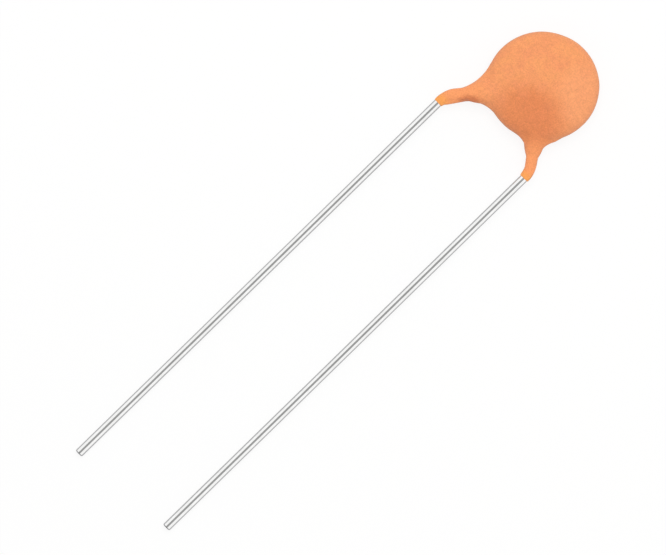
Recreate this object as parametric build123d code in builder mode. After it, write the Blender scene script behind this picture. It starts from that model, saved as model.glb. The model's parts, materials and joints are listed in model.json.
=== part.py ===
from build123d import *
from math import asin, atan2, degrees, hypot, isclose, radians, tan
import os

# A ceramic disc capacitor with two long radial leads, in millimetres.
#
# It is drawn flat first: X across the two leads, Y from the lead tips towards the disc, Z out of
# the front face, and zero midway between the leads, a little below the disc. The front lead is
# soldered to the front electrode and the back lead to the back one. At the end the whole part is
# tipped onto its back, as it lies on a table: on the belly of its coating and a lead's tip.

# leads
lead_diameter = 0.6
lead_pitch = 7.5
front_tip_drop = 33.3  # from the zero level down to the tip
back_tip_drop = 32.58
front_splay = 39.0  # degrees that a lead turns inwards, to aim at the disc's centre
back_splay = 37.6
tip_round = 0.1  # the rolled edge that the cutter leaves
bend_radius = 1.7  # where a lead turns in towards the disc
lift_radius = 1.2  # where it levels out over the disc's face
lead_overrun = 0.5  # how far a lead passes the disc's centre
lift_clearance = 0.2  # from the disc's edge out to the lead's last bend

# ceramic, electrodes and solder
ceramic_diameter = 6.4
ceramic_thickness = 0.6
ceramic_edge = 0.05
disc_shift = 0.28  # the disc's centre, off the middle of the leads
disc_height = 5.4  # and above the zero level
electrode_margin = 0.3  # bare ceramic round each electrode
electrode_thickness = 0.02
solder_film = 0.03  # under the lead
solder_height = 0.5  # the lead's back stands out of it
solder_length = 2.8
solder_width = 1.7
solder_slope = 30  # degrees off upright
solder_lap = 0.35  # solder past the lead's end

# coating
coat_rim = 0.5  # outside the ceramic's edge
coat_face = 0.2  # over the leads at the middle
coat_edge_radius = 0.95
neck_film = 0.12  # round a lead
lip_film = 0.035  # at the neck's very end
lip_length = 0.4
front_neck_reach = 0.10359  # down the straight of the lead, below its bend
back_neck_reach = 0.004102
web_thickness = 0.66  # the thin skirt that joins each neck to the disc
web_edge_radius = 0.3
web_inset = 0.12  # the skirt's round part, inside the coating's rim
web_neck_width = 0.6
web_root_width = 1.3
outer_web_radius = 2.0
inner_web_radius = 2.6
web_fillet_share = 0.92  # of the bare neck, at most

# worked out from the sizes above
lead_radius = lead_diameter / 2
ceramic_radius = ceramic_diameter / 2
electrode_radius = ceramic_radius - electrode_margin
electrode_top = ceramic_thickness / 2 + electrode_thickness
lead_level = electrode_top + solder_film + lead_radius
body_radius = ceramic_radius + coat_rim
body_half = lead_level + lead_radius + coat_face
web_radius = body_radius - web_inset
crown_radius = ((body_radius - coat_edge_radius) ** 2 + body_half**2 - coat_edge_radius**2) / (
    2 * (body_half - coat_edge_radius)
)
disc_centre = Vector(disc_shift, disc_height)


class Lead:
    """One lead's route: up the straight leg, in towards the disc and level across its face."""

    def __init__(self, side, face, splay, tip_drop, neck_reach):
        self.side, self.face = side, face
        leg = side * lead_pitch / 2
        bend_height = disc_height - (lead_pitch / 2 - side * disc_shift) / tan(radians(splay))
        self.tip = Vector(leg, -tip_drop)
        self.bend = Vector(leg, bend_height)
        self.inward = (disc_centre - self.bend).normalized()
        self.across = self.inward.rotate(Axis.Z, 90)
        level = Vector(0, 0, face * lead_level)
        self.lift = disc_centre - self.inward * (ceramic_radius + lift_clearance) + level
        self.end = disc_centre + self.inward * lead_overrun + level
        turn = Vector(0, 1, 0).get_angle(self.lift - self.bend)
        bend_depth = bend_radius * tan(radians(turn / 2))
        self.neck_end = Vector(leg, bend_height - bend_depth - neck_reach)
        self.web_limit = ((disc_centre - self.bend).length - web_radius) * web_fillet_share


front = Lead(-1, 1, front_splay, front_tip_drop, front_neck_reach)
back = Lead(1, -1, back_splay, back_tip_drop, back_neck_reach)


def wire_along(route, start):
    with BuildLine() as line:
        FilletPolyline(start, route.bend, route.lift, route.end, radius=[bend_radius, lift_radius])
    return line.line


def make_lead(route):
    path = wire_along(route, route.tip)
    with BuildPart() as lead:
        with BuildSketch(Plane(origin=path @ 0, z_dir=path % 0)):
            Circle(lead_radius)
        sweep(path=path)
        fillet(lead.edges().group_by(Axis.Y)[0], tip_round)
    return lead


def make_electrode(face):
    with BuildPart() as electrode:
        with BuildSketch(Plane.XY.offset(face * ceramic_thickness / 2)):
            with Locations(disc_centre):
                Circle(electrode_radius)
        extrude(amount=face * electrode_thickness)
    return electrode


def make_solder(route, lead):
    middle = disc_centre + route.inward * (lead_overrun + solder_lap - solder_length / 2)
    base = middle + Vector(0, 0, route.face * electrode_top)
    with BuildPart() as solder:
        with BuildSketch(Plane(origin=base, x_dir=route.inward, z_dir=(0, 0, route.face))):
            SlotOverall(solder_length, solder_width)
        extrude(amount=solder_height, taper=solder_slope)
        add(lead.part, mode=Mode.SUBTRACT)
    return solder


with BuildPart() as ceramic_disc:
    with BuildSketch(Plane.XY.offset(-ceramic_thickness / 2)):
        with Locations(disc_centre):
            Circle(ceramic_radius)
    extrude(amount=ceramic_thickness)
    chamfer(ceramic_disc.edges().filter_by(GeomType.CIRCLE), ceramic_edge)

front_lead = make_lead(front)
back_lead = make_lead(back)
front_electrode = make_electrode(front.face)
back_electrode = make_electrode(back.face)
front_solder = make_solder(front, front_lead)
back_solder = make_solder(back, back_lead)


def make_belly():
    """The round, lens-like part of the coating."""
    rim_middle = Vector(body_radius - coat_edge_radius, 0)
    crown_middle = Vector(0, body_half - crown_radius)
    meeting = rim_middle + (rim_middle - crown_middle).normalized() * coat_edge_radius
    with BuildPart() as belly:
        with BuildSketch(Plane(origin=disc_centre, x_dir=(1, 0, 0), z_dir=(0, -1, 0))):
            with BuildLine():
                crown = RadiusArc((0, body_half), meeting, crown_radius)
                rim = RadiusArc(meeting, (body_radius, 0), coat_edge_radius)
                mirror(crown, about=Plane.XZ)
                mirror(rim, about=Plane.XZ)
                Line((0, body_half), (0, -body_half))
            make_face()
        revolve(axis=Axis(disc_centre, (0, 0, 1)))
    return belly


def make_sleeve(route):
    """The coating that runs down round one lead, thinning out at its end."""
    path = wire_along(route, route.neck_end)
    with BuildPart() as sleeve:
        with BuildSketch(Plane(origin=path @ 0, z_dir=path % 0)):
            Circle(lead_radius + neck_film)
        sweep(path=path)
        mouth = sleeve.faces().sort_by(Axis.Y)[0]
        chamfer(mouth.edges(), length=neck_film - lip_film, length2=lip_length, reference=mouth)
    return sleeve


def neck_web(route):
    """The corners of the skirt along one lead, from its bend to well inside the disc."""
    root = disc_centre - route.inward * (ceramic_radius - coat_edge_radius)
    neck = route.across * (web_neck_width / 2)
    wide = route.across * (web_root_width / 2)
    return route.bend - neck, route.bend + neck, root + wide, root - wide


def web_corners(plan, route):
    """Where one neck's skirt leaves the disc: the corner towards the other neck, then the outer."""

    def on_rim(vertex):
        reach = hypot(vertex.X - disc_centre.X, vertex.Y - disc_centre.Y)
        return isclose(reach, web_radius, abs_tol=1e-4) and (vertex.X - disc_centre.X) * route.side > 0

    return plan.vertices().filter_by(on_rim).sort_by(lambda vertex: vertex.X * route.side)


with BuildPart() as skirt:
    with BuildSketch() as plan:
        with Locations(disc_centre):
            Circle(web_radius)
        for route in (front, back):
            Polygon(*neck_web(route), align=None)
        for route in (front, back):
            fillet(web_corners(plan, route)[0], min(inner_web_radius, route.web_limit))
            fillet(web_corners(plan, route)[-1], min(outer_web_radius, route.web_limit))
    extrude(amount=web_thickness / 2, both=True)
    fillet(skirt.edges().filter_by(Plane.XY), web_edge_radius)

with BuildPart() as coating:
    add(make_belly().part)
    add(skirt.part)
    for route in (front, back):
        add(make_sleeve(route).part)
    buried = (ceramic_disc, front_electrode, back_electrode, front_solder, back_solder)
    for piece in (*buried, front_lead, back_lead):
        add(piece.part, mode=Mode.SUBTRACT)

# at rest: the crown of the back and the longer lead's tip touch the table
reach = disc_height + max(front_tip_drop, back_tip_drop)
crown_offset = crown_radius - body_half
lean = asin((crown_radius - lead_radius) / hypot(reach, crown_offset)) - atan2(crown_offset, reach)
leaning = Location((0, 0, 0), (degrees(lean), 0, 0))

pieces = {
    "coating": coating,
    "ceramic_disc": ceramic_disc,
    "front_electrode": front_electrode,
    "back_electrode": back_electrode,
    "front_solder": front_solder,
    "back_solder": back_solder,
    "front_lead": front_lead,
    "back_lead": back_lead,
}
for piece in pieces.values():
    piece.part.move(leaning)
around = Compound([piece.part for piece in pieces.values()]).bounding_box()
standing = Location((-around.center().X, -around.center().Y, -around.min.Z))

os.makedirs("parts", exist_ok=True)
for name, piece in pieces.items():
    piece.part.move(standing)
    piece.part.label = name
    export_step(piece.part, f"parts/{name}.step")
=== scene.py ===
import json
import math
from functools import partial
import bmesh
import bpy
from mathutils import Matrix, Vector, noise


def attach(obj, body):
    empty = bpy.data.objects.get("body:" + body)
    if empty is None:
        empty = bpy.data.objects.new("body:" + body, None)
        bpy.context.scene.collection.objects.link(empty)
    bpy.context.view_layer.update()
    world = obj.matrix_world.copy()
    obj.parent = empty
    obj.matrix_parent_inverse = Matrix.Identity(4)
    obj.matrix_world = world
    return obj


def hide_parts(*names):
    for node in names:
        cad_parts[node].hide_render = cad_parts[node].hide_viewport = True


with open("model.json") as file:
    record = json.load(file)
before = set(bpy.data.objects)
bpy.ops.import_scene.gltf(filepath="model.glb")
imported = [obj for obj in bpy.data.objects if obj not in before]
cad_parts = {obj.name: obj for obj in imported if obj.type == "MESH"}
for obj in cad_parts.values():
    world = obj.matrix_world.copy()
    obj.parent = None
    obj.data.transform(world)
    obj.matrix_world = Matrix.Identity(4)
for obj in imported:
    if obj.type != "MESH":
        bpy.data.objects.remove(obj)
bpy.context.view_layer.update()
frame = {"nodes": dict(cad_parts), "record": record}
scene = bpy.context.scene
scene.view_settings.view_transform = "Standard"

# The part is modelled flat, in millimetres: x across the leads, y from their tips to the disc,
# z out of the front face. partToRow lays it down as the part rests, in metres.
pins = {mount["name"]: mount for mount in frame["record"]["mounts"]}
frontPin, backPin = pins["front_lead_pin"], pins["back_lead_pin"]
millimetre = 0.001
part = {
    "leadPitch": 7.5,
    "discShift": 0.28,  # the disc's centre, off the middle of the leads
    "discHeight": 5.4,
    "wireRadius": 0.3,
    "wireLevel": 0.65,  # over the disc's middle plane, where a lead crosses its face
    "bendRadius": 1.7,
    "liftRadius": 1.2,
    "liftDistance": 3.4,  # from the disc's centre out to the last bend
    "overrun": 0.5,
}
discCentre = Vector((part["discShift"], part["discHeight"], 0))


class Lead:  # one lead's route, from its tip to its end on the disc
    def __init__(self, side, face, splay, tipDrop, neckReach):
        self.side, self.face = side, face
        leg = side * part["leadPitch"] / 2
        bendHeight = discCentre.y - (part["leadPitch"] / 2 - side * discCentre.x) / math.tan(splay)
        bendDepth = part["bendRadius"] * math.tan(splay / 2)
        self.tip = Vector((leg, -tipDrop, 0))
        self.neckEnd = Vector((leg, bendHeight - bendDepth - neckReach, 0))
        self.bend = Vector((leg, bendHeight, 0))
        self.inward = (discCentre - self.bend).normalized()
        self.across = Vector((-self.inward.y, self.inward.x, 0))
        bendOut = part["bendRadius"] * (1 / math.cos(splay / 2) - 1)  # the corner to the bent wire
        self.neckBend = self.bend + (self.inward - Vector((0, 1, 0))).normalized() * bendOut
        level = Vector((0, 0, face * part["wireLevel"]))
        self.lift = discCentre - self.inward * part["liftDistance"] + level
        self.end = discCentre + self.inward * part["overrun"] + level


frontLead = Lead(side=-1, face=1, splay=math.radians(39.0), tipDrop=33.3, neckReach=0.13)
backLead = Lead(side=1, face=-1, splay=math.radians(37.6), tipDrop=32.58, neckReach=0.05)

alongRow = -Vector(frontPin["axis"]).normalized()
acrossRow = Vector((1, 0, 0))
outRow = acrossRow.cross(alongRow)
turn = Matrix((acrossRow, alongRow, outRow)).transposed()
middle = (Vector(frontPin["pos_m"]).x + Vector(backPin["pos_m"]).x) / 2
origin = Vector(frontPin["pos_m"]) - alongRow * frontLead.neckEnd.y * millimetre
origin.x = middle
partToRow = Matrix.Translation(origin) @ turn.to_4x4() @ Matrix.Scale(millimetre, 4)
print("frame read: the part leans by", round(math.degrees(math.asin(alongRow.z)), 2), "degrees")


# camera, straight above the disc's face
view = {
    "width": 43.82,  # of what it sees, in millimetres
    "centre": (-0.35, -13.229),
    "lens": 300,
    "sensor": 36,
    "roll": 45.69,
    "clip": (0.01, 10),
}


def makeCamera():
    camera = bpy.data.objects.new("camera", bpy.data.cameras.new("camera"))
    scene.collection.objects.link(camera)
    camera.data.lens = view["lens"]
    camera.data.sensor_width = view["sensor"]
    distance = view["width"] * view["lens"] / view["sensor"]
    eye = partToRow @ Vector((*view["centre"], distance))
    aim = turn.to_4x4() @ Matrix.Rotation(math.radians(view["roll"]), 4, "Z")
    camera.matrix_world = Matrix.Translation(eye) @ aim
    camera.data.clip_start, camera.data.clip_end = view["clip"]
    scene.camera = camera


makeCamera()


# node helpers
noiseRange = (0.3, 0.7)  # what a noise mostly covers


def newMaterial(name):
    material = bpy.data.materials.new(name)
    material.use_nodes = True
    tree = material.node_tree
    return material, tree, tree.nodes["Principled BSDF"]


def addNode(tree, kind, **values):
    node = tree.nodes.new(kind)
    for key, value in values.items():
        setattr(node, key, value)
    return node


def partCoordinates(tree, stretch=(1, 1, 1)):  # the flat part's millimetres
    place = addNode(tree, "ShaderNodeTexCoord")
    mapping = addNode(tree, "ShaderNodeMapping", vector_type="TEXTURE")
    mapping.inputs["Location"].default_value = origin
    mapping.inputs["Rotation"].default_value = turn.to_euler()
    mapping.inputs["Scale"].default_value = [millimetre * s for s in stretch]
    tree.links.new(place.outputs["Object"], mapping.inputs["Vector"])
    return mapping.outputs["Vector"]


def addNoise(tree, vector, scale, detail, roughness=0.55):
    texture = addNode(tree, "ShaderNodeTexNoise")
    texture.inputs["Scale"].default_value = scale
    texture.inputs["Detail"].default_value = detail
    texture.inputs["Roughness"].default_value = roughness
    tree.links.new(vector, texture.inputs["Vector"])
    return texture.outputs["Fac"]


def mapRange(tree, value, low, high, toLow=0.0, toHigh=1.0, smooth=False):
    node = addNode(tree, "ShaderNodeMapRange")
    if smooth:
        node.interpolation_type = "SMOOTHSTEP"
    limits = {"From Min": low, "From Max": high, "To Min": toLow, "To Max": toHigh}
    for name, number in limits.items():
        node.inputs[name].default_value = number
    tree.links.new(value, node.inputs["Value"])
    return node.outputs["Result"]


def combine(tree, operation, first, second):
    node = addNode(tree, "ShaderNodeMath", operation=operation)
    for socket, value in zip(node.inputs, (first, second)):
        if isinstance(value, (int, float)):
            socket.default_value = value
        else:
            tree.links.new(value, socket)
    return node.outputs["Value"]


def mixColour(tree, factor, first, second):
    node = addNode(tree, "ShaderNodeMix", data_type="RGBA")
    tree.links.new(factor, node.inputs["Factor"])
    for socket, value in zip(node.inputs[6:8], (first, second)):
        if isinstance(value, tuple):
            socket.default_value = (*value, 1)
        else:
            tree.links.new(value, socket)
    return node.outputs[2]


def facingAlong(tree, axis):  # how far the surface faces along an axis, either way
    share = addNode(tree, "ShaderNodeVectorMath", operation="DOT_PRODUCT")
    tree.links.new(addNode(tree, "ShaderNodeNewGeometry").outputs["Normal"], share.inputs[0])
    share.inputs[1].default_value = axis
    return combine(tree, "ABSOLUTE", share.outputs["Value"], 0)


def addBump(tree, shader, height, strength, distance):
    bump = addNode(tree, "ShaderNodeBump")
    bump.inputs["Strength"].default_value = strength
    bump.inputs["Distance"].default_value = distance * millimetre
    tree.links.new(height, bump.inputs["Height"])
    tree.links.new(bump.outputs["Normal"], shader.inputs["Normal"])


# mesh helpers
def finishPiece(bm, name, material, node):
    bmesh.ops.transform(bm, matrix=partToRow, verts=bm.verts)
    bmesh.ops.recalc_face_normals(bm, faces=bm.faces)
    mesh = bpy.data.meshes.new(name)
    bm.to_mesh(mesh)
    bm.free()
    mesh.shade_smooth()
    piece = bpy.data.objects.new(name, mesh)
    scene.collection.objects.link(piece)
    mesh.materials.append(material)
    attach(piece, "root")
    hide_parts(node)
    print(name, "has", len(mesh.polygons), "faces")
    return piece


def wireStations(lead, start, step, arcSteps):  # points and directions along the bent wire
    corners = [start, lead.bend, lead.lift, lead.end]
    radii = [part["bendRadius"], part["liftRadius"]]
    stations = []
    here = corners[0]
    for before, corner, after, radius in zip(corners, corners[1:], corners[2:], radii):
        arriving = (corner - before).normalized()
        leaving = (after - corner).normalized()
        angle = arriving.angle(leaving)
        arcStart = corner - arriving * radius * math.tan(angle / 2)
        count = max(1, round((arcStart - here).length / step))
        stations += [(here.lerp(arcStart, i / count), arriving) for i in range(count)]
        axis = arriving.cross(leaving).normalized()
        centre = arcStart + axis.cross(arriving) * radius
        for i in range(arcSteps):
            swing = Matrix.Rotation(angle * i / arcSteps, 3, axis)
            stations.append((centre + swing @ (arcStart - centre), swing @ arriving))
        here = corner + leaving * radius * math.tan(angle / 2)
    leaving = (corners[3] - corners[2]).normalized()
    count = max(1, round((corners[3] - here).length / step))
    stations += [(here.lerp(corners[3], i / count), leaving) for i in range(count + 1)]
    return stations


def sweepTube(bm, stations, radii, sides):  # a ring, extruded and carried along the stations
    point, direction = stations[0]
    place = Matrix.Translation(point) @ direction.to_track_quat("Z", "X").to_matrix().to_4x4()
    ring = bmesh.ops.create_circle(
        bm, cap_ends=True, segments=sides, radius=radii[0], matrix=place
    )["verts"]
    firstRing = list(ring)
    edges = list({edge for vertex in ring for edge in vertex.link_edges if edge.is_boundary})
    for i in range(1, len(stations)):
        extruded = bmesh.ops.extrude_edge_only(bm, edges=edges)["geom"]
        ring = [item for item in extruded if isinstance(item, bmesh.types.BMVert)]
        edges = [item for item in extruded if isinstance(item, bmesh.types.BMEdge)]
        (oldPoint, oldDirection), (newPoint, newDirection) = stations[i - 1], stations[i]
        tilt = oldDirection.rotation_difference(newDirection).to_matrix().to_4x4()
        growth = Matrix.Scale(radii[i] / radii[i - 1], 4)
        carry = Matrix.Translation(newPoint) @ tilt @ growth @ Matrix.Translation(-oldPoint)
        bmesh.ops.transform(bm, matrix=carry, verts=ring)
    bmesh.ops.contextual_create(bm, geom=edges)
    return firstRing, ring


def arcFrom(bm, vertex, centre, degrees, steps, axis=(0, 0, 1)):  # draws an arc on from a vertex
    spun = bmesh.ops.spin(
        bm,
        geom=[vertex],
        cent=centre,
        axis=axis,
        dvec=(0, 0, 0),
        angle=math.radians(degrees),
        steps=steps,
        use_merge=False,
        use_normal_flip=False,
        use_duplicate=False,
    )
    return [item for item in spun["geom_last"] if isinstance(item, bmesh.types.BMVert)][0]


def lineFrom(bm, vertex, end):
    extruded = bmesh.ops.extrude_vert_indiv(bm, verts=[vertex])["verts"][0]
    bmesh.ops.translate(bm, vec=end - extruded.co, verts=[extruded])
    return extruded


# tinned wire
tinned = {
    "colour": (0.95, 0.95, 0.945),
    "dullColour": (0.86, 0.86, 0.85),
    "sideShadeColour": (0.4, 0.4, 0.41),
    "cutColour": (0.25, 0.25, 0.26),
    "spotScale": 1.7,
    "spotRange": (0.35, 0.75),
    "sideShadeStart": (0.1, 0.35),  # the painted shade down each side, a darker grey band, by how far the surface faces up
    "sideShadeEnd": (0.6, 0.76),
    "cutStart": (0.2, 0.5),  # the cut end, by how far the surface faces along the wire
    "roughness": (0.09, 0.13),
    "drawnLines": 9.0,
    "lineStretch": 40,
    "bump": (0.04, 0.01),  # strength and depth
}


def makeTinned():
    material, tree, shader = newMaterial("tinnedWire")
    lines = partCoordinates(tree, (1, tinned["lineStretch"], 1))
    drawn = addNoise(tree, lines, tinned["drawnLines"], 4)
    spots = addNoise(tree, partCoordinates(tree), tinned["spotScale"], 5, 0.6)
    dull = mapRange(tree, spots, *tinned["spotRange"])
    colour = mixColour(tree, dull, tinned["colour"], tinned["dullColour"])
    # painted shade: a darker grey band down each side of the wire, where it faces partly up
    upwards = facingAlong(tree, (0, 0, 1))
    start = mapRange(tree, upwards, *tinned["sideShadeStart"], 0.0, 1.0, True)
    end = mapRange(tree, upwards, *tinned["sideShadeEnd"], 1.0, 0.0, True)
    colour = mixColour(tree, combine(tree, "MULTIPLY", end, start), colour, tinned["sideShadeColour"])
    cut = mapRange(tree, facingAlong(tree, alongRow), *tinned["cutStart"], 0.0, 1.0, True)
    colour = mixColour(tree, cut, colour, tinned["cutColour"])
    tree.links.new(colour, shader.inputs["Base Color"])
    roughness = mapRange(tree, drawn, *noiseRange, *tinned["roughness"])
    tree.links.new(roughness, shader.inputs["Roughness"])
    shader.inputs["Metallic"].default_value = 1
    addBump(tree, shader, drawn, *tinned["bump"])
    return material


tinnedWire = makeTinned()


# leads
wire = {"sides": 48, "step": 0.6, "arcSteps": 10, "tipRound": 0.11, "tipSteps": 5}


def makeLead(lead, name, node):
    bm = bmesh.new()
    stations = wireStations(lead, lead.tip, wire["step"], wire["arcSteps"])
    tipRing, endRing = sweepTube(bm, stations, [part["wireRadius"]] * len(stations), wire["sides"])
    for ring in (tipRing, endRing):
        held = set(ring)
        rim = list({edge for v in ring for edge in v.link_edges if edge.other_vert(v) in held})
        bmesh.ops.bevel(
            bm,
            geom=rim,
            offset=wire["tipRound"],
            affect="EDGES",
            segments=wire["tipSteps"],
            profile=0.5,
            material=-1,
        )
    return finishPiece(bm, name, tinnedWire, node)


makeLead(frontLead, "frontLead", "front_lead")
makeLead(backLead, "backLead", "back_lead")


# dipped coating
resin = {
    "radius": 3.69,
    "oval": 0.02,  # longer along one diagonal and shorter along the other
    "ovalTurn": 45,
    "flatness": 0.968,  # of the half by the leads
    "halfThickness": 1.138,
    "rimRadius": 0.95,
    "crownSteps": 24,
    "rimSteps": 14,
    "turnSteps": 160,
    "mergeDistance": 0.0001,
    "webHalf": 0.35,  # its edges are fully round
    "webFoot": 0.3,  # where it ends, inside the neck
    "webSides": 32,
    "webMerge": 0.002,
    "webRun": 26,  # degrees that an edge runs on along the disc's rim, sinking into it
    "webSink": 0.96,
    "filletSteps": 24,
    "sleeveStep": 0.05,
    "sleeveArcSteps": 12,
    "lipRadii": ((0.0, 0.31), (0.05, 0.345), (0.15, 0.365)),
    "frontSleeve": ((0.6, 0.375), (1.2, 0.41), (3.4, 0.43), (9.0, 0.36)),
    "backSleeve": ((0.5, 0.365), (1.0, 0.37), (1.8, 0.415), (3.4, 0.45), (9.0, 0.36)),
    "shoulderReach": 3.0,  # from the disc's centre
    "shoulderLevel": 0.2,
    "frontShoulder": (2.4, 0.85, 0.85),  # half its length, width and height
    "backShoulder": (2.0, 0.75, 0.92),
    "shoulderSides": 96,
    "sleeveSides": 40,
    "voxel": 0.043,
    "smoothFactor": 0.5,
    "smoothing": 24,
    "blendReach": 3.2,
    "blendRadius": 2.8,
    "blendTurns": 800,
    "blendGain": 1.6,
    "lumpSize": 1.6,
    "lumpHeight": 0.03,
}
webShape = {  # each side of a neck: how its edge rounds into the disc, and how its end is moved
    "frontOuter": {
        "lead": frontLead,
        "side": 1,
        "discRadius": 3.75,
        "rounding": 3.0,
        "halfWidth": 0.37,
        "foot": (0, 0),
    },
    "frontInner": {
        "lead": frontLead,
        "side": -1,
        "discRadius": 3.58,
        "rounding": 2.3,
        "halfWidth": 0.51,
        "foot": (0.1, -0.24),
    },
    "backInner": {
        "lead": backLead,
        "side": 1,
        "discRadius": 3.56,
        "rounding": 1.6,
        "halfWidth": 0.42,
        "foot": (0, 0),
    },
    "backOuter": {
        "lead": backLead,
        "side": -1,
        "discRadius": 3.76,
        "rounding": 1.5,
        "halfWidth": 0.35,
        "foot": (0, 0),
    },
}


def makeBelly(bm):  # the round body, spun from half of its outline
    rimCentre = Vector((resin["radius"] - resin["rimRadius"], 0, 0))
    halfThickness, rimRadius = resin["halfThickness"], resin["rimRadius"]
    spare = halfThickness - rimRadius
    crownRadius = (rimCentre.x**2 + halfThickness**2 - rimRadius**2) / (2 * spare)
    crownCentre = Vector((0, 0, halfThickness - crownRadius))
    crownTurn = math.degrees(math.atan2(rimCentre.x, -crownCentre.z))
    start = bmesh.ops.create_vert(bm, co=(0, 0, halfThickness))["vert"][0]
    sideways = (0, 1, 0)
    here = arcFrom(bm, start, crownCentre, crownTurn, resin["crownSteps"], sideways)
    here = arcFrom(bm, here, rimCentre, 180 - 2 * crownTurn, resin["rimSteps"], sideways)
    arcFrom(bm, here, -crownCentre, crownTurn, resin["crownSteps"], sideways)
    bmesh.ops.spin(
        bm,
        geom=bm.verts[:] + bm.edges[:],
        cent=(0, 0, 0),
        axis=(0, 0, 1),
        dvec=(0, 0, 0),
        angle=math.tau,
        steps=resin["turnSteps"],
        use_merge=True,
        use_normal_flip=False,
        use_duplicate=False,
    )
    bmesh.ops.remove_doubles(bm, verts=bm.verts, dist=resin["mergeDistance"])
    lower = [vertex for vertex in bm.verts if vertex.co.y < 0]
    bmesh.ops.scale(bm, vec=(1, resin["flatness"], 1), verts=lower)
    diagonal = Matrix.Rotation(math.radians(resin["ovalTurn"]), 4, "Z")
    longer = (1 + resin["oval"], 1 - resin["oval"], 1)
    bmesh.ops.scale(bm, vec=longer, space=diagonal.inverted(), verts=bm.verts)
    bmesh.ops.translate(bm, vec=discCentre, verts=bm.verts)


def turnBetween(centre, first, second):
    a, b = first - centre, second - centre
    return math.degrees(math.atan2(a.x * b.y - a.y * b.x, a.dot(b)))


def webRounding(web):  # the points that the middle of a round edge runs by
    lead, side = web["lead"], web["side"]
    reach = web["discRadius"] + web["rounding"]
    offset = web["halfWidth"] + web["rounding"]
    along = math.sqrt(reach**2 - offset**2)
    inset = web["rounding"] + resin["webHalf"]
    centre = discCentre - lead.inward * along + lead.across * side * offset
    onDisc = centre + (discCentre - centre).normalized() * inset
    onNeck = centre - lead.across * side * inset
    further = Matrix.Rotation(-side * math.radians(resin["webRun"]), 3, "Z")
    inDisc = discCentre + further @ (onDisc - discCentre) * resin["webSink"]
    return centre, onDisc, onNeck, inDisc


def makeWeb(bm, lead, webs):  # the thinner web that fills the corners between a neck and the disc
    steps = resin["filletSteps"]
    here = bmesh.ops.create_vert(bm, co=discCentre)["vert"][0]
    centre, onDisc, onNeck, inDisc = webRounding(webs[0])
    for corner in (inDisc, onDisc):
        here = lineFrom(bm, here, corner)
    here = arcFrom(bm, here, centre, turnBetween(centre, onDisc, onNeck), steps)
    centre, onDisc, onNeck, inDisc = webRounding(webs[1])
    for corner in (lead.neckBend, onNeck):
        here = lineFrom(bm, here, corner)
    here = arcFrom(bm, here, centre, turnBetween(centre, onNeck, onDisc), steps)
    for corner in (inDisc, discCentre):
        here = lineFrom(bm, here, corner)
    bmesh.ops.remove_doubles(bm, verts=bm.verts, dist=resin["webMerge"])
    bmesh.ops.contextual_create(bm, geom=bm.edges[:])
    bmesh.ops.translate(bm, vec=(0, 0, -resin["webHalf"]), verts=bm.verts)
    grown = bmesh.ops.extrude_face_region(bm, geom=bm.faces[:])["geom"]
    raised = [item for item in grown if isinstance(item, bmesh.types.BMVert)]
    bmesh.ops.translate(bm, vec=(0, 0, 2 * resin["webHalf"]), verts=raised)


def makeWebEdge(bm, web):  # the round edge of a web, from the disc down to the neck's bend
    centre, onDisc, onNeck, inDisc = webRounding(web)
    angle = math.radians(turnBetween(centre, onDisc, onNeck))
    stations = [(inDisc, (onDisc - inDisc).normalized())]
    for i in range(resin["filletSteps"] + 1):
        swing = Matrix.Rotation(angle * i / resin["filletSteps"], 3, "Z")
        spoke = swing @ (onDisc - centre)
        ahead = Vector((-spoke.y, spoke.x, 0)).normalized() * math.copysign(1, angle)
        stations.append((centre + spoke, ahead))
    foot = web["lead"].neckBend + Vector((*web["foot"], 0))
    stations.append((foot, (foot - onNeck).normalized()))
    radii = [resin["webHalf"]] * (len(stations) - 1) + [resin["webFoot"]]
    sweepTube(bm, stations, radii, resin["webSides"])


def between(table, distance):  # a value from a short table, joined by straight lines
    for (low, first), (high, second) in zip(table, table[1:]):
        if distance <= high:
            return first + (second - first) * (distance - low) / (high - low)
    return table[-1][1]


def makeSleeve(bm, lead):  # the coating round one lead
    stations = wireStations(lead, lead.neckEnd, resin["sleeveStep"], resin["sleeveArcSteps"])
    table = resin["lipRadii"] + resin["frontSleeve" if lead is frontLead else "backSleeve"]
    travelled, radii = 0, []
    for i, (point, direction) in enumerate(stations):
        travelled += (point - stations[i - 1][0]).length if i else 0
        radii.append(between(table, travelled))
    sweepTube(bm, stations, radii, resin["sleeveSides"])


def makeShoulder(bm, lead):  # the swelling where a lead climbs onto the disc's face
    middle = discCentre - lead.inward * resin["shoulderReach"]
    middle.z = lead.face * resin["shoulderLevel"]
    axes = Matrix((lead.inward, lead.across, Vector((0, 0, 1)))).transposed().to_4x4()
    stretch = Matrix.Diagonal((*resin["frontShoulder" if lead is frontLead else "backShoulder"], 1))
    place = Matrix.Translation(middle) @ axes @ stretch
    sides = resin["shoulderSides"]
    bmesh.ops.create_uvsphere(bm, u_segments=sides, v_segments=sides // 2, radius=1, matrix=place)


def evaluated(mesh, modifiers, weigh=None):  # a mesh with modifiers, by kind and settings, applied
    thing = bpy.data.objects.new("rough", mesh)
    scene.collection.objects.link(thing)
    if weigh:
        group = thing.vertex_groups.new(name="weights")
        for vertex in mesh.vertices:
            group.add([vertex.index], weigh(vertex), "REPLACE")
    for kind, settings in modifiers:
        modifier = thing.modifiers.new(kind.lower(), kind)
        for key, value in settings.items():
            setattr(modifier, key, value)
    depsgraph = bpy.context.evaluated_depsgraph_get()
    result = bpy.data.meshes.new_from_object(thing.evaluated_get(depsgraph), depsgraph=depsgraph)
    bpy.data.objects.remove(thing)
    bpy.data.meshes.remove(mesh)
    return result


def blendWeight(vertex):  # strongest on the faces, where a neck runs onto the disc
    share = 0
    for lead in (frontLead, backLead):
        joint = discCentre - lead.inward * resin["blendReach"]
        away = (vertex.co.xy - joint.xy).length / resin["blendRadius"]
        share = max(share, 1 - away)
    return min(1, resin["blendGain"] * share) * abs(vertex.normal.z)


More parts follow.
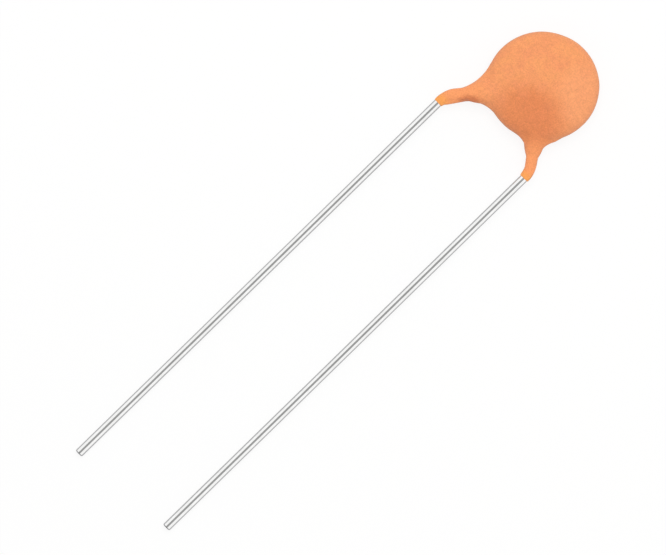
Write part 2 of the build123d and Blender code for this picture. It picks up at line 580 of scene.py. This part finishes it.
def fuse(shapes):  # joins overlapping closed shapes into one skin
    joined = bmesh.new()
    for shape in shapes:
        bm = bmesh.new()
        shape(bm)
        bmesh.ops.recalc_face_normals(bm, faces=bm.faces)
        mesh = bpy.data.meshes.new("shape")
        bm.to_mesh(mesh)
        bm.free()
        joined.from_mesh(mesh)
        bpy.data.meshes.remove(mesh)
    mesh = bpy.data.meshes.new("shapes")
    joined.to_mesh(mesh)
    joined.free()
    oneSkin = {"mode": "VOXEL", "voxel_size": resin["voxel"]}
    evenly = {"factor": resin["smoothFactor"], "iterations": resin["smoothing"]}
    mesh = evaluated(mesh, [("REMESH", oneSkin), ("SMOOTH", evenly)])
    upAndDown = {
        "factor": resin["smoothFactor"],
        "iterations": resin["blendTurns"],
        "use_x": False,
        "use_y": False,
        "vertex_group": "weights",
    }
    mesh = evaluated(mesh, [("SMOOTH", upAndDown)], blendWeight)
    skin = bmesh.new()
    skin.from_mesh(mesh)
    bpy.data.meshes.remove(mesh)
    return skin


resinFinish = {
    "orange": (0.83, 0.32, 0.122),
    "rosy": (0.8, 0.29, 0.122),
    # painted shade on the lower half of the disc
    "lowerShade": (0.64, 0.18, 0.062),
    # painted light on the upper right of the front face
    "paintedLight": (0.85, 0.338, 0.148),
    "offDiscTone": (0.9, 0.325, 0.125),
    "lip": (0.9, 0.36, 0.08),
    # painted shade under the front neck's inner edge
    "neckShade": (0.5, 0.12, 0.045),
    # painted shade on the rim
    "edge": (0.42, 0.2, 0.12),
    "blotchScale": 0.9,
    "blotchRange": (0.38, 0.64),
    "mottleScale": 3.4,
    "mottleShade": (0.92, 1.08),
    "grainScale": 10,
    "grainShade": (0.88, 1.12),
    "edgeShadeReach": 0.42,  # the painted shade on the rim, by how far the surface faces up
    "edgeShadeShare": 0.4,
    "roughness": (0.55, 0.7),
    "specular": 0.35,
    "bump": (0.35, 0.02),  # strength and depth
    "bumpMottle": 2.0,
}
resinPatches = {  # soft round patches, each laid over the ones before it
    # painted light: a paler patch on the upper right of the front face, where the light falls
    "paintedLight": {
        "centre": (2.6, 6.6, 1.1),
        "size": (1.5, 2.2, 2.0),
        "turn": 25,
        "soft": 0.9,
        "wobble": 0.8,  # how far the noise pushes its edge
        "noise": "blotch",
        "colour": "paintedLight",
        "share": 0.7,
    },
    # painted shade: darker, deeper orange over the lower half of the front face, towards the leads
    "lowerShadeFront": {
        "centre": (1.2, 3.3, 1.1),
        "size": (2.4, 2.0, 2.0),
        "turn": 10,
        "soft": 0.9,
        "wobble": 0.8,
        "noise": "blotch",
        "colour": "lowerShade",
        "share": 0.6,
    },
    # painted shade: the same darker, deeper orange on the back face
    "lowerShadeBack": {
        "centre": (0.9, 4.2, -1.1),
        "size": (2.7, 2.0, 1.9),
        "turn": -35,
        "soft": 0.7,
        "wobble": 0.8,
        "noise": "blotch",
        "colour": "lowerShade",
        "share": 0.6,
    },
    "necks": {  # all that is off the disc, in a lighter, more orange tone
        "outside": True,
        "centre": (0.28, 5.4, 0.0),
        "size": (3.9, 3.9, 9.0),
        "turn": 0,
        "soft": 0.5,
        "wobble": 0.15,
        "noise": "mottle",
        "colour": "offDiscTone",
        "share": 0.8,
    },
    # painted shade: dark red-brown under the front neck's inner edge
    "neckShade": {
        "centre": (-2.42, 1.36, 0.3),
        "size": (0.7, 0.28, 0.9),
        "turn": 45,
        "soft": 1.1,
        "wobble": 0.5,
        "noise": "mottle",
        "colour": "neckShade",
        "share": 0.6,
    },
    "frontLip": {
        "centre": (-3.75, -0.35, 0.0),
        "size": (0.75, 0.75, 0.75),
        "turn": 0,
        "soft": 0.8,
        "wobble": 0.4,
        "noise": "mottle",
        "colour": "lip",
        "share": 0.8,
    },
    "backLip": {
        "centre": (3.75, 0.2, 0.0),
        "size": (0.6, 0.6, 0.6),
        "turn": 0,
        "soft": 0.8,
        "wobble": 0.4,
        "noise": "mottle",
        "colour": "lip",
        "share": 0.8,
    },
}


def patchMask(tree, place, push, patch):  # one inside it and nought outside, or turned round
    mapping = addNode(tree, "ShaderNodeMapping", vector_type="TEXTURE")
    mapping.inputs["Location"].default_value = patch["centre"]
    mapping.inputs["Rotation"].default_value = (0, 0, math.radians(patch["turn"]))
    mapping.inputs["Scale"].default_value = patch["size"]
    tree.links.new(place, mapping.inputs["Vector"])
    length = addNode(tree, "ShaderNodeVectorMath", operation="LENGTH")
    tree.links.new(mapping.outputs["Vector"], length.inputs[0])
    wobble = combine(tree, "MULTIPLY", combine(tree, "SUBTRACT", push, 0.5), patch["wobble"])
    away = combine(tree, "ADD", length.outputs["Value"], wobble)
    mask = mapRange(tree, away, 1 - patch["soft"] / 2, 1 + patch["soft"] / 2, 1.0, 0.0, True)
    return combine(tree, "SUBTRACT", 1, mask) if patch.get("outside") else mask


def makeResin():
    material, tree, shader = newMaterial("dippedResin")
    place = partCoordinates(tree)
    noises = {
        "blotch": addNoise(tree, place, resinFinish["blotchScale"], 4, 0.6),
        "mottle": addNoise(tree, place, resinFinish["mottleScale"], 6, 0.72),
        "grain": addNoise(tree, place, resinFinish["grainScale"], 3, 0.6),
    }
    blotches = mapRange(tree, noises["blotch"], *resinFinish["blotchRange"])
    colour = mixColour(tree, blotches, resinFinish["orange"], resinFinish["rosy"])
    for patch in resinPatches.values():
        mask = patchMask(tree, place, noises[patch["noise"]], patch)
        mask = combine(tree, "MULTIPLY", mask, patch["share"])
        colour = mixColour(tree, mask, colour, resinFinish[patch["colour"]])
    # painted shade: the rim turns darker and browner where the surface stops facing up
    upwards = facingAlong(tree, (0, 0, 1))
    rim = mapRange(tree, upwards, 0.0, resinFinish["edgeShadeReach"], 1.0, 0.0, True)
    rim = combine(tree, "MULTIPLY", rim, resinFinish["edgeShadeShare"])
    colour = mixColour(tree, rim, colour, resinFinish["edge"])
    light = mapRange(tree, noises["mottle"], *noiseRange, *resinFinish["mottleShade"])
    fine = mapRange(tree, noises["grain"], *noiseRange, *resinFinish["grainShade"])
    shade = addNode(tree, "ShaderNodeVectorMath", operation="SCALE")
    tree.links.new(colour, shade.inputs[0])
    tree.links.new(combine(tree, "MULTIPLY", light, fine), shade.inputs["Scale"])
    tree.links.new(shade.outputs[0], shader.inputs["Base Color"])
    roughness = mapRange(tree, noises["mottle"], *noiseRange, *resinFinish["roughness"])
    tree.links.new(roughness, shader.inputs["Roughness"])
    shader.inputs["Specular IOR Level"].default_value = resinFinish["specular"]
    coarse = combine(tree, "MULTIPLY", noises["mottle"], resinFinish["bumpMottle"])
    addBump(tree, shader, combine(tree, "ADD", coarse, noises["grain"]), *resinFinish["bump"])
    return material


dippedResin = makeResin()


def makeCoating():
    shapes = [makeBelly]
    for lead in (frontLead, backLead):
        webs = [web for web in webShape.values() if web["lead"] is lead]
        shapes += [partial(makeWeb, lead=lead, webs=webs), partial(makeSleeve, lead=lead)]
        shapes += [partial(makeWebEdge, web=web) for web in webs]
        shapes += [partial(makeShoulder, lead=lead)]
    skin = fuse(shapes)
    skin.normal_update()
    for vertex in skin.verts:
        lump = noise.noise(vertex.co / resin["lumpSize"])
        vertex.co += vertex.normal * lump * resin["lumpHeight"]
    return finishPiece(skin, "dippedCoating", dippedResin, "coating")


makeCoating()


# inner pieces keep their own shape
innerFinish = {
    "firedCeramic": {
        "colour": (0.62, 0.55, 0.42),
        "roughness": (0.52, 0.68),
        "metallic": 0,
        "grain": 6,
        "nodes": ("ceramic_disc",),
    },
    "silverPaste": {
        "colour": (0.82, 0.8, 0.76),
        "roughness": (0.37, 0.53),
        "metallic": 1,
        "grain": 9,
        "nodes": ("front_electrode", "back_electrode"),
    },
    "softSolder": {
        "colour": (0.6, 0.6, 0.61),
        "roughness": (0.22, 0.38),
        "metallic": 1,
        "grain": 3,
        "nodes": ("front_solder", "back_solder"),
    },
}
innerShade = 0.8  # of the colour, in the speckle
innerBump = (0.3, 0.01)  # strength and depth


def makeInner(name, finish):
    material, tree, shader = newMaterial(name)
    speckle = addNoise(tree, partCoordinates(tree), finish["grain"], 6, 0.65)
    darker = tuple(innerShade * channel for channel in finish["colour"])
    colour = mixColour(tree, mapRange(tree, speckle, *noiseRange), darker, finish["colour"])
    tree.links.new(colour, shader.inputs["Base Color"])
    roughness = mapRange(tree, speckle, *noiseRange, *finish["roughness"])
    tree.links.new(roughness, shader.inputs["Roughness"])
    shader.inputs["Metallic"].default_value = finish["metallic"]
    addBump(tree, shader, speckle, *innerBump)
    for node in finish["nodes"]:
        frame["nodes"][node].material_slots[0].material = material


for name, finish in innerFinish.items():
    makeInner(name, finish)
print("inner pieces finished")


# floor, sky and lamps
studio = {
    "floorSize": 3.0,  # half of it, in metres
    "floorColour": (0.9, 0.9, 0.9),
    "floorRoughness": 0.9,
    "floorShade": 0.13,  # how much of its own shading the camera sees, over plain white
    "floorGlossShade": 0.6,  # and how much the reflections see
    "skyStrength": 0.64,
    "gapHalf": 25,  # degrees, as is its soft edge
    "gapSoft": 6,
    "gapShade": 0.34,
}


def rayShare(tree, cameraShare, glossShare):  # how much of the plain white each kind of ray sees
    path = addNode(tree, "ShaderNodeLightPath")
    seen = combine(tree, "MULTIPLY", path.outputs["Is Camera Ray"], cameraShare)
    glossy = combine(tree, "MULTIPLY", path.outputs["Is Glossy Ray"], glossShare)
    through = combine(tree, "MULTIPLY", path.outputs["Is Transmission Ray"], cameraShare)
    return combine(tree, "ADD", combine(tree, "ADD", seen, glossy), through)


def makeFloor():
    bm = bmesh.new()
    bmesh.ops.create_grid(bm, x_segments=1, y_segments=1, size=studio["floorSize"])
    mesh = bpy.data.meshes.new("floor")
    bm.to_mesh(mesh)
    bm.free()
    floor = bpy.data.objects.new("floor", mesh)
    scene.collection.objects.link(floor)
    material, tree, shader = newMaterial("paperFloor")
    shader.inputs["Base Color"].default_value = (*studio["floorColour"], 1)
    shader.inputs["Roughness"].default_value = studio["floorRoughness"]
    shader.inputs["Specular IOR Level"].default_value = 0
    white = addNode(tree, "ShaderNodeEmission")
    mix = addNode(tree, "ShaderNodeMixShader")
    share = rayShare(tree, 1 - studio["floorShade"], 1 - studio["floorGlossShade"])
    tree.links.new(share, mix.inputs[0])
    tree.links.new(shader.outputs[0], mix.inputs[1])
    tree.links.new(white.outputs[0], mix.inputs[2])
    tree.links.new(mix.outputs[0], tree.nodes["Material Output"].inputs["Surface"])
    mesh.materials.append(material)


def makeSky():  # a pale room with a long dark gap overhead, along the leads
    world = bpy.data.worlds.new("studio")
    scene.world = world
    world.use_nodes = True
    tree = world.node_tree
    background = tree.nodes["Background"]
    background.inputs["Color"].default_value = (1, 1, 1, 1)
    direction = addNode(tree, "ShaderNodeTexCoord").outputs["Generated"]
    parts = addNode(tree, "ShaderNodeSeparateXYZ")
    tree.links.new(direction, parts.inputs[0])
    width = combine(tree, "ABSOLUTE", parts.outputs["X"], 0)
    sideways = combine(tree, "ARCTAN2", width, parts.outputs["Z"])
    low, high = (math.radians(studio["gapHalf"] + s * studio["gapSoft"] / 2) for s in (-1, 1))
    gap = mapRange(tree, sideways, low, high, studio["gapShade"], 1.0, True)
    path = addNode(tree, "ShaderNodeLightPath")
    glossy = path.outputs["Is Glossy Ray"]
    through = path.outputs["Is Transmission Ray"]
    seen = combine(tree, "MAXIMUM", path.outputs["Is Camera Ray"], through)
    plain = combine(tree, "MAXIMUM", seen, combine(tree, "MULTIPLY", glossy, gap))
    lit = combine(tree, "SUBTRACT", 1, combine(tree, "MAXIMUM", seen, glossy))
    strength = combine(tree, "ADD", plain, combine(tree, "MULTIPLY", lit, studio["skyStrength"]))
    tree.links.new(strength, background.inputs["Strength"])


keyLamp = {"place": (-25, 50, 230), "size": 160, "power": 0.32, "colour": (1.0, 0.985, 0.96)}


def makeKeyLamp():  # aimed at the disc, and left out of reflections
    lamp = bpy.data.objects.new("key", bpy.data.lights.new("key", "AREA"))
    scene.collection.objects.link(lamp)
    place, target = partToRow @ Vector(keyLamp["place"]), partToRow @ discCentre
    aim = (place - target).to_track_quat("Z", "Y").to_matrix().to_4x4()
    lamp.matrix_world = Matrix.Translation(place) @ aim
    lamp.data.size = keyLamp["size"] * millimetre
    lamp.data.energy = keyLamp["power"]
    lamp.data.color = keyLamp["colour"]
    lamp.visible_camera = lamp.visible_glossy = False


makeFloor()
makeSky()
makeKeyLamp()
print("studio lit")
